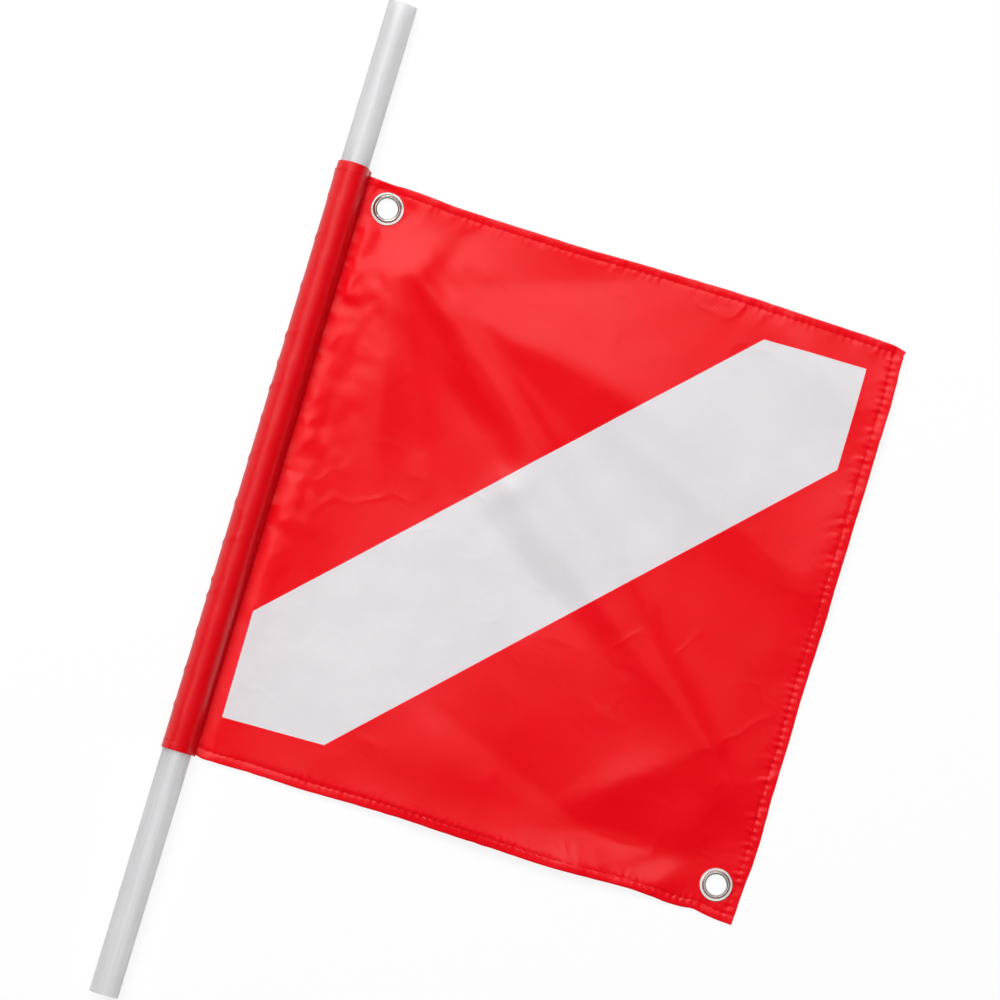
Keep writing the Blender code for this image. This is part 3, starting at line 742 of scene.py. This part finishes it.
def makePole():
    half, radius = pole["length"] / 2, pole["radius"]
    bore, soft, plain = radius - pole["wall"], pole["rounding"], half - pole["plainEnd"]
    quarter = np.linspace(0, math.pi / 2, pole["endRings"] + 1)
    profile = [(radius - soft + soft * math.sin(a), half - soft + soft * math.cos(a)) for a in quarter]
    profile += [(radius, along) for along in np.linspace(plain, -plain, pole["rings"])]
    profile += [(radius - soft + soft * math.cos(a), -half + soft - soft * math.sin(a)) for a in quarter]
    profile += [(bore + soft - soft * math.sin(a), -half + soft - soft * math.cos(a)) for a in quarter]
    profile += [(bore + soft - soft * math.cos(a), half - soft + soft * math.sin(a)) for a in quarter]
    return turned("poleTube", profile, pole["sides"], (poleX, poleZ), True, 50)


poleTube = makePole()


# Eyelets: a domed flange at the back, a barrel and a rolled lip over a dished washer

eyelet = {
    "bore": 5.2,
    "lipRadius": 7.15,
    "lipHeight": 1.0,
    "lipTuck": -0.35,  # the lip ends this far below its middle, in shares of its height
    "lipBase": 2.25,
    "flangeRadius": 8.3,
    "flangeHeight": 0.75,
    "washerRadius": 8.55,
    "washerInner": 5.95,
    "washerBase": 1.45,
    "sides": 96,
    "arcSteps": 14,
}


def eyeletProfile():
    form = eyelet
    bore, lip, flange, high = (form[name] for name in ("bore", "lipRadius", "flangeRadius", "flangeHeight"))
    middle, half = (bore + lip) / 2, (lip - bore) / 2
    arc = np.linspace(-0.25 * math.pi, math.pi, form["arcSteps"])
    base, rise = form["lipBase"], form["lipHeight"]
    rolled = [(middle + half * math.cos(a), base + rise * max(math.sin(a), form["lipTuck"])) for a in arc]
    return [
        (bore + 0.4, 1.9), *rolled, (bore, 0.9), (bore + 0.12, 0.42), (bore + 0.5, 0.1), (bore + 1.0, 0.0),
        (flange - 1.2, 0.06), (flange - 0.4, 0.2), (flange, 0.45), (flange - 0.1, high - 0.1),
        (flange - 0.35, high), (bore + 0.4, high),
    ]


def washerProfile():
    inner, edge, low = (eyelet[name] for name in ("washerInner", "washerRadius", "washerBase"))
    return [
        (inner, low), (edge - 0.7, low - 0.02), (edge - 0.15, low - 0.06), (edge, low + 0.12),
        (edge - 0.1, low + 0.3), (edge - 0.3, low + 0.36), (edge - 0.6, low + 0.3), (edge - 1.1, low + 0.34),
        (edge - 1.7, low + 0.5), (inner + 0.1, low + 0.55),
    ]


eyeletPieces = []
for label, center in zip(("upper", "lower"), eyeletSpots):
    ring = turned(label + "Eyelet", eyeletProfile(), eyelet["sides"], center, False, 45)
    washer = turned(label + "Washer", washerProfile(), eyelet["sides"], center, False, 45)
    eyeletPieces.append((label, ring, washer))
print("pole and eyelets turned")


# Node trees

class Wiring:
    # Short calls that add nodes to a tree
    def __init__(self, tree):
        self.nodes, self.links = tree.nodes, tree.links

    def feed(self, value, socket):
        if hasattr(value, "is_output"):
            self.links.new(value, socket)
        else:
            socket.default_value = value

    def feedAll(self, node, inputs):
        for label, value in inputs.items():
            self.feed(value, node.inputs[label])

    def add(self, kind, inputs=None, **settings):
        # The settings come first, because they decide which sockets there are
        node = self.nodes.new(kind)
        for label, value in settings.items():
            setattr(node, label, value)
        self.feedAll(node, inputs or {})
        return node.outputs

    def calc(self, operation, first, second=0.0, clamp=False):
        return self.add("ShaderNodeMath", {0: first, 1: second}, operation=operation, use_clamp=clamp)[0]

    def dot(self, place, direction):
        return self.add("ShaderNodeVectorMath", {0: place, 1: direction}, operation="DOT_PRODUCT")["Value"]

    def noise(self, place, scale, detail=2.0, roughness=0.5):
        inputs = {"Vector": place, "Scale": scale, "Detail": detail, "Roughness": roughness}
        return self.add("ShaderNodeTexNoise", inputs)["Fac"]

    def ramp(self, value, low, high, start=0.0, end=1.0):
        inputs = {"Value": value, "From Min": low, "From Max": high, "To Min": start, "To Max": end}
        return self.add("ShaderNodeMapRange", inputs)["Result"]

    def blendColor(self, share, first, second):
        return self.add("ShaderNodeMix", {0: share, 6: first, 7: second}, data_type="RGBA")[2]

    def bump(self, height, distance):
        return self.add("ShaderNodeBump", {"Strength": 1.0, "Distance": distance, "Height": height})["Normal"]


def newGroup(name, kind, inputs, outputs):
    # Each input: its label, its kind and a starting value where it needs one
    group = bpy.data.node_groups.new(name, kind + "NodeTree")
    for label, socketKind, *start in inputs:
        socket = group.interface.new_socket(label, in_out="INPUT", socket_type="NodeSocket" + socketKind)
        if start:
            socket.default_value = start[0]
    for label, socketKind in outputs:
        group.interface.new_socket(label, in_out="OUTPUT", socket_type="NodeSocket" + socketKind)
    wire = Wiring(group)
    return group, wire, wire.add("NodeGroupInput"), group.nodes.new("NodeGroupOutput").inputs


# Stitches, laid along guide lines by one node tree

def stitchTree():
    tree, wire, entry, leave = newGroup("layStitches", "Geometry", (
        ("Geometry", "Geometry"), ("Pitch", "Float"), ("Length", "Float"), ("Thread Radius", "Float"),
        ("Rise", "Float"), ("Dip", "Float"), ("Seed", "Int"), ("Thread", "Material"),
    ), [("Geometry", "Geometry")])

    def times(socket, number):
        return wire.calc("MULTIPLY", socket, number)

    def corner(x, z):
        return wire.add("ShaderNodeCombineXYZ", {"X": x, "Z": z})[0]

    def scatter(low, high):
        inputs = {0: low, 1: high, "Seed": entry["Seed"]}
        return wire.add("FunctionNodeRandomValue", inputs, data_type="FLOAT_VECTOR")[0]

    guides = wire.add("GeometryNodeMeshToCurve", {"Mesh": entry["Geometry"]})["Curve"]
    spaced = wire.add("GeometryNodeResampleCurve", {"Curve": guides, "Length": entry["Pitch"]}, mode="LENGTH")[0]
    half, inner = times(entry["Length"], 0.5), times(entry["Length"], stitching["handleShare"])
    rise, low = entry["Rise"], times(entry["Dip"], -1)
    arch = wire.add("GeometryNodeCurvePrimitiveBezierSegment", {
        "Resolution": stitching["threadSides"], "Start": corner(times(half, -1), low), "End": corner(half, low),
        "Start Handle": corner(times(inner, -1), rise), "End Handle": corner(inner, rise),
    })["Curve"]
    around = wire.add("GeometryNodeCurvePrimitiveCircle", {
        "Resolution": stitching["threadSides"], "Radius": entry["Thread Radius"],
    })["Curve"]
    thread = wire.add("GeometryNodeCurveToMesh", {"Curve": arch, "Profile Curve": around, "Fill Caps": True})["Mesh"]
    upward = wire.add("GeometryNodeInputNamedAttribute", {"Name": "upward"}, data_type="FLOAT_VECTOR")["Attribute"]
    tangent = wire.add("GeometryNodeInputTangent")["Tangent"]
    turn = wire.add("FunctionNodeAxesToRotation", {"Primary Axis": upward, "Secondary Axis": tangent},
                    primary_axis="Z", secondary_axis="X")["Rotation"]
    sewn = wire.add("GeometryNodeInstanceOnPoints", {"Points": spaced, "Instance": thread, "Rotation": turn})[0]
    for kind, label, inputs in (
        ("RotateInstances", "Instances", {"Rotation": scatter(*stitching["sway"]), "Local Space": True}),
        ("ScaleInstances", "Instances", {"Scale": scatter(*stitching["stretch"])}),
        ("RealizeInstances", "Geometry", {}),
        ("SetShadeSmooth", "Geometry", {}),
        ("SetMaterial", "Geometry", {"Material": entry["Thread"]}),
    ):
        sewn = wire.add("GeometryNode" + kind, {label: sewn, **inputs})[0]
    wire.feed(sewn, leave["Geometry"])
    return tree


def guideLines(name, lines):
    # Each line: its points and the direction that its stitches stand up in
    vertices, links, upward = [], [], []
    for line, ups in lines:
        first = len(vertices)
        vertices += line.tolist()
        upward += ups.tolist()
        links += [(first + index, first + index + 1) for index in range(len(line) - 1)]
    mesh = bpy.data.meshes.new(name)
    mesh.from_pydata(vertices, links, [])
    attribute = mesh.attributes.new("upward", "FLOAT_VECTOR", "POINT")
    attribute.data.foreach_set("vector", np.array(upward, np.float32).ravel())
    return newPiece(name + "Guide", mesh)


def sewStitches(name, lines, tree, thread):
    guide = guideLines(name, lines)
    modifier = guide.modifiers.new("stitches", "NODES")
    modifier.node_group = tree
    values = {
        "Pitch": stitching["pitch"] * mm,
        "Length": stitching["length"] * mm,
        "Thread Radius": stitching["threadRadius"] * mm,
        "Rise": stitching["rise"] * mm,
        "Dip": stitching["dip"] * mm,
        "Seed": stitching["seed"],
        "Thread": thread,
    }
    for item in tree.interface.items_tree:
        if item.in_out == "INPUT" and item.name in values:
            modifier[item.identifier] = values[item.name]
    guide.update_tag()
    bpy.context.view_layer.update()
    shown = guide.evaluated_get(bpy.context.evaluated_depsgraph_get())
    mesh = bpy.data.meshes.new_from_object(shown)
    mesh.name = name
    bpy.data.objects.remove(guide, do_unlink=True)
    return newPiece(name, mesh)


def uprights(direction, count):
    return np.tile((0, 0, direction), (count, 1))


def rowsOnFlag():
    lines = []
    for side, (start, end) in stitching["rows"].items():
        steps = np.arange(start * mm, end * mm, stitching["guideStep"] * mm)
        path = spotsOn(side, steps, rowOf(side, steps))
        for up, gap in stitching["offCloth"]:
            lift = clothZ + clothLift(*path.T) + up * gap * mm
            lines.append((np.column_stack((path, lift)), uprights(up, len(path))))
    return lines


def rowsOnSleeve():
    form, ends = stitching, stitching["seamEnds"] * mm
    lines = []
    ys = np.arange(sleeveLow + ends, sleeveHigh - ends, form["guideStep"] * mm)
    for up in (1, -1):
        x, z = seamX - form["seamInset"] * mm, clothZ + up * form["offLip"] * mm
        lines.append((np.column_stack((x + 0 * ys, ys, z + 0 * ys)), uprights(up, len(ys))))
    _, angles, arc, _, _ = sleeveSection(sleeveForm["radius"])
    outward, past = outwardFrom(arc), bandLength + form["pastBand"] * mm
    for y in (sleeveHigh - past, sleeveLow + past):
        ring = arc + outward * (sleeveSwell(angles, y) + form["offSleeve"])[:, None]
        lines.append((roundPole(ring, y), np.column_stack((outward[:, 0], 0 * outward[:, 0], outward[:, 1]))))
    return lines


# Materials

weaving = {
    "twillDegrees": 65,
    "twill": 0.17,  # heights
    "threads": 0.05,
    "crinkle": 1.3,
    "crease": 2.2,
    "creaseEdge": 0.06,
    "patchScale": 21.0,
    "patchEdges": (0.42, 0.58),
    "toneScale": 38.0,
}
marking = {
    "smudgeScale": 55.0,
    "fiberScale": 2600.0,
}
finishes = {
    "redNylon": {
        "light": (237, 3, 22), "deep": (232, 1, 16), "relief": 0.06, "inputs": {"Specular IOR Level": 0.5},
        "toneEdges": (0.3, 0.7), "roughness": (0.2, 0.8, 0.34, 0.38),
    },
    "redThread": {
        "light": (222, 10, 30), "deep": (186, 6, 22), "relief": 0.05, "inputs": {"Specular IOR Level": 0.15},
        "roughness": 0.6,
    },
    "milkyPlastic": {
        "light": (247, 247, 248), "deep": (233, 232, 233), "relief": 0.03,
        "inputs": {"Transmission Weight": 0.75, "IOR": 1.45}, "stretch": (1.0, 0.012, 1.0), "markSize": 1.6,
        "toneEdges": (0.3, 0.7), "roughness": (0.3, 0.7, 0.28, 0.42),
    },
    "nickelPlate": {
        "light": (214, 210, 205), "deep": (196, 192, 186), "relief": 0.003, "inputs": {"Metallic": 1.0},
        "stretch": (1.0, 1.0, 1.0), "markSize": 0.9,
        "toneEdges": (0.35, 0.65), "roughness": (0.3, 0.7, 0.10, 0.2),
    },
}
finishes["whiteNylon"] = {**finishes["redNylon"], "light": (225, 220, 223), "deep": (220, 216, 219)}
# The sleeve is the same red nylon as the flag, painted a little darker: painted shade for its rounded sides
finishes["sleeveNylonPaintedShade"] = {**finishes["redNylon"], "light": (222, 3, 20), "deep": (217, 1, 14)}


def weaveGroup():
    group, wire, entry, leave = newGroup("nylonWeave", "Shader", (
        ("Twill Pitch", "Float", 0.00146), ("Thread Pitch", "Float", 0.00042),
        ("Crinkle Size", "Float", 0.004), ("Crease Size", "Float", 0.034),
    ), (("Height", "Float"), ("Tone", "Float")))
    place = wire.add("ShaderNodeTexCoord")["UV"]

    def ridges(degrees, pitch):
        angle = math.radians(degrees)
        across = wire.dot(place, (math.cos(angle), math.sin(angle), 0))
        return wire.calc("SINE", wire.calc("MULTIPLY", wire.calc("DIVIDE", across, pitch), 2 * math.pi))

    twill = ridges(weaving["twillDegrees"], entry["Twill Pitch"])
    threads = wire.calc("MULTIPLY", ridges(0, entry["Thread Pitch"]), ridges(90, entry["Thread Pitch"]))
    crinkle = wire.noise(place, wire.calc("DIVIDE", 1.0, entry["Crinkle Size"]), 3.0)
    # Sharp little creases, only here and there
    creaseField = wire.noise(place, wire.calc("DIVIDE", 1.0, entry["Crease Size"]), 2.0, 0.45)
    offCrest = wire.calc("ABSOLUTE", wire.calc("SUBTRACT", creaseField, 0.5))
    crest = wire.ramp(offCrest, 0.0, weaving["creaseEdge"], 1.0, 0.0)
    patches = wire.ramp(wire.noise(place, weaving["patchScale"], 1.0), *weaving["patchEdges"])
    height = 0.0
    for name, part in (("twill", twill), ("threads", threads), ("crinkle", crinkle),
                       ("crease", wire.calc("MULTIPLY", crest, patches))):
        height = wire.calc("ADD", height, wire.calc("MULTIPLY", part, weaving[name]))
    wire.feed(height, leave["Height"])
    wire.feed(wire.noise(place, weaving["toneScale"], 4.0, 0.6), leave["Tone"])
    return group


def marksGroup():
    # Fine lengthwise drawing marks and faint handling marks
    group, wire, entry, leave = newGroup(
        "fineMarks", "Shader", (("Stretch", "Vector", (1.0, 1.0, 1.0)), ("Size", "Float", 0.001)),
        (("Streak", "Float"), ("Smudge", "Float")))
    place = wire.add("ShaderNodeTexCoord")["Object"]
    stretched = wire.add("ShaderNodeVectorMath", {0: place, 1: entry["Stretch"]}, operation="MULTIPLY")["Vector"]
    wire.feed(wire.noise(stretched, wire.calc("DIVIDE", 1.0, entry["Size"]), 3.0), leave["Streak"])
    wire.feed(wire.noise(place, marking["smudgeScale"], 3.0, 0.55), leave["Smudge"])
    return group


def newMaterial(name, inputs):
    material = bpy.data.materials.new(name)
    material.use_nodes = True
    wire = Wiring(material.node_tree)
    wire.feedAll(wire.nodes["Principled BSDF"], inputs)
    return material, wire


def finishMaterial(name, group=None, toneFrom=None, roughnessFrom=None, heightFrom=None):
    # Colour between two tones, roughness and relief, each read from an output of the shared group
    look = finishes[name]
    material, wire = newMaterial(name, look["inputs"])
    if group:
        inputs = {"Stretch": look["stretch"], "Size": look["markSize"] * mm} if "stretch" in look else {}
        effects = wire.add("ShaderNodeGroup", inputs, node_tree=group)
        tone, height = wire.ramp(effects[toneFrom], *look["toneEdges"]), effects[heightFrom]
        roughness = wire.ramp(effects[roughnessFrom], *look["roughness"])
    else:
        place = wire.add("ShaderNodeTexCoord")["Object"]
        tone = height = wire.noise(place, marking["fiberScale"], 2.0)
        roughness = look["roughness"]
    wire.feedAll(wire.nodes["Principled BSDF"], {
        "Base Color": wire.blendColor(tone, linearColor(*look["deep"]), linearColor(*look["light"])),
        "Roughness": roughness,
        "Normal": wire.bump(height, look["relief"] * mm),
    })
    return material


def dress(piece, material):
    piece.data.materials.clear()
    piece.data.materials.append(material)


weave, marks = weaveGroup(), marksGroup()
redNylon, sleeveNylonPaintedShade, whiteNylon = (
    finishMaterial(name, weave, "Tone", "Tone", "Height") for name in ("redNylon", "sleeveNylonPaintedShade", "whiteNylon")
)
redThread = finishMaterial("redThread")
milkyPlastic = finishMaterial("milkyPlastic", marks, "Streak", "Smudge", "Streak")
nickelPlate = finishMaterial("nickelPlate", marks, "Smudge", "Streak", "Streak")

layStitches = stitchTree()
flagStitches = sewStitches("flagStitches", rowsOnFlag(), layStitches, redThread)
sleeveStitches = sewStitches("sleeveStitches", rowsOnSleeve(), layStitches, redThread)
print("stitches sewn:", len(flagStitches.data.polygons), "and", len(sleeveStitches.data.polygons), "faces")

for piece in (flagField, topHem, bottomHem, flyHem):
    dress(piece, redNylon)
# the sleeve gets the darker copy of the red nylon, a painted shade
for piece in (sleeveCloth, sleeveTopBand, sleeveBottomBand):
    dress(piece, sleeveNylonPaintedShade)
dress(whiteBand, whiteNylon)
dress(poleTube, milkyPlastic)
for _, ring, washer in eyeletPieces:
    dress(ring, nickelPlate)
    dress(washer, nickelPlate)


# What each piece rides on and stands for

for piece in (flagField, topHem, bottomHem, flagStitches):
    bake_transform(piece)
for piece in (whiteBand, flyHem):
    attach(piece, "flag")
for piece in (sleeveCloth, sleeveTopBand, sleeveBottomBand, sleeveStitches):
    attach(piece, "sleeve")
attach(poleTube, "pole")
for label, ring, washer in eyeletPieces:
    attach(ring, "flag")
    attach(washer, "flag")
    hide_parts(label + "_eyelet")
    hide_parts(label + "_washer")
for piece, node, slotName in (
    (flagField, "flag_panel", "red_nylon"), (whiteBand, "white_stripe", "white_nylon"),
    (topHem, "top_hem", "red_nylon"), (bottomHem, "bottom_hem", "red_nylon"), (flyHem, "fly_hem", "red_nylon"),
    (sleeveCloth, "pole_sleeve", "red_nylon"), (sleeveTopBand, "sleeve_top_hem", "red_nylon"),
    (sleeveBottomBand, "sleeve_bottom_hem", "red_nylon"), (poleTube, "pole_tube", "milky_plastic"),
):
    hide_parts(node)


# Table, light and camera

studio = {
    "tableSize": 30,
    "tableDrop": 0.4,  # millimetres, so that no fold pokes through
    "tableGrey": 0.93,
    "ceilingGrey": 0.003,
    "lightFrom": (-0.56, 0.82),
    "keyElevation": 56,
    "keyDistance": 2.4,
    "keySize": 1.4,
    "keyPower": 47,
    "sheenElevation": 50,
    "sheenDistance": 2.4,
    "sheenSize": 2.6,
    "sheenPower": 38,
    "fillPlace": (0.3, -0.3, 3.6),
    "fillSize": 4.0,
    "fillPower": 68,
    "roomLevel": 0.06,
    "ceilingHeight": 4.2,
    "ceilingNear": 5,  # towards the light
    "ceilingFar": 60,
    "ceilingHalfWidth": 45,
    "metalPlace": (0.25, -0.25, 3.15),
    "metalSize": 2.6,
    "metalPower": 20,
    "shadowShare": 0.16,
    "cameraPlace": (-0.09528, -0.14478, 2.99374),
    "cameraTarget": (-0.02349, 0.03512, 0.0),
    "cameraRoll": -0.29123,
    "cameraLens": 212.07,
    "cameraSensor": 36,
    "cameraReach": (0.05, 100),
}


def lightPathShare(wire):
    path = wire.add("ShaderNodeLightPath")
    seen = wire.calc("ADD", path["Is Camera Ray"], path["Is Glossy Ray"], clamp=True)
    return wire.calc("ADD", seen, path["Is Transmission Ray"], clamp=True)


def plainPlane(name, corners, grey, roughness):
    plane = finishMesh(name, corners, [(0, 1, 2, 3)])
    material, wire = newMaterial(
        name, {"Base Color": (grey, grey, grey, 1), "Roughness": roughness, "Specular IOR Level": 0.0})
    dress(plane, material)
    return plane, wire


def makeTable():
    half, drop = studio["tableSize"] / 2, -studio["tableDrop"] * mm
    corners = [(-half, -half, drop), (half, -half, drop), (half, half, drop), (-half, half, drop)]
    _, wire = plainPlane("table", corners, studio["tableGrey"], 0.9)
    glow = wire.add("ShaderNodeEmission", {"Strength": 1.0})["Emission"]
    share = wire.calc("MULTIPLY", lightPathShare(wire), 1 - studio["shadowShare"])
    mixed = wire.add("ShaderNodeMixShader", {"Fac": share, 1: wire.nodes["Principled BSDF"].outputs["BSDF"], 2: glow})
    wire.feed(mixed["Shader"], wire.nodes["Material Output"].inputs["Surface"])


def makeCeiling():
    # A dark ceiling that only shows in the sheen, so that the lamps alone light it
    towards = Vector((*studio["lightFrom"], 0)).normalized()
    aside = Vector((towards.y, -towards.x, 0)) * studio["ceilingHalfWidth"]
    near, far = towards * studio["ceilingNear"], towards * -studio["ceilingFar"]
    high = Vector((0, 0, studio["ceilingHeight"]))
    corners = [tuple(high + end + side) for end, side in ((near, aside), (far, aside), (far, -aside), (near, -aside))]
    ceiling, _ = plainPlane("darkCeiling", corners, studio["ceilingGrey"], 1.0)
    for ray in ("camera", "diffuse", "shadow", "transmission"):
        setattr(ceiling, "visible_" + ray, False)


def makeLamp(label, place, shape="SQUARE", seenBy=("diffuse", "glossy")):
    data = bpy.data.lights.new(label + "Light", "AREA")
    data.shape = shape
    data.size, data.energy = studio[label + "Size"], studio[label + "Power"]
    lamp = newPiece(label + "Light", data)
    lamp.location = place
    lamp.rotation_mode = "QUATERNION"
    lamp.rotation_quaternion = Vector(place).to_track_quat("Z", "Y")
    lamp.visible_camera = False
    if len(seenBy) == 1:
        lamp.visible_diffuse, lamp.visible_glossy = "diffuse" in seenBy, "glossy" in seenBy
        data.cycles.use_multiple_importance_sampling = False
    return lamp


def towardsLight(label):
    elevation = math.radians(studio[label + "Elevation"])
    flat = Vector((*studio["lightFrom"], 0)).normalized()
    return (flat * math.cos(elevation) + Vector((0, 0, math.sin(elevation)))) * studio[label + "Distance"]


def makeLamps():
    # The key and the fill shape the cloth, one lamp makes its sheen, and one is seen by the metal alone
    makeLamp("key", towardsLight("key"), seenBy=("diffuse",))
    makeLamp("fill", studio["fillPlace"], seenBy=("diffuse",))
    makeLamp("sheen", towardsLight("sheen"), seenBy=("glossy",))
    shine = makeLamp("metal", studio["metalPlace"], "DISK")
    chosen = bpy.data.collections.new(shine.name + "Pieces")
    for _, ring, washer in eyeletPieces:
        chosen.objects.link(ring)
        chosen.objects.link(washer)
    shine.light_linking.receiver_collection = chosen


def makeWorld():
    # Dim for the light it gives, white where it is seen itself
    world = bpy.data.worlds.new("paleRoom")
    world.use_nodes = True
    wire = Wiring(world.node_tree)
    strength = wire.calc("MAXIMUM", studio["roomLevel"], lightPathShare(wire))
    wire.feedAll(wire.nodes["Background"], {"Color": (1, 1, 1, 1), "Strength": strength})
    bpy.context.scene.world = world


def makeCamera():
    place, target = Vector(studio["cameraPlace"]), Vector(studio["cameraTarget"])
    forward = (target - place).normalized()
    roll = studio["cameraRoll"]
    right = forward.cross(Vector((math.sin(roll), math.cos(roll), 0))).normalized()
    up = right.cross(forward)
    data = bpy.data.cameras.new("camera")
    data.lens, data.sensor_width = studio["cameraLens"], studio["cameraSensor"]
    data.clip_start, data.clip_end = studio["cameraReach"]
    camera = newPiece("camera", data)
    camera.matrix_world = Matrix.Translation(place) @ Matrix((right, up, -forward)).transposed().to_4x4()
    bpy.context.scene.camera = camera


makeTable()
makeCeiling()
makeLamps()
makeWorld()
makeCamera()
bpy.context.scene.view_settings.view_transform = "Standard"
print("studio set")
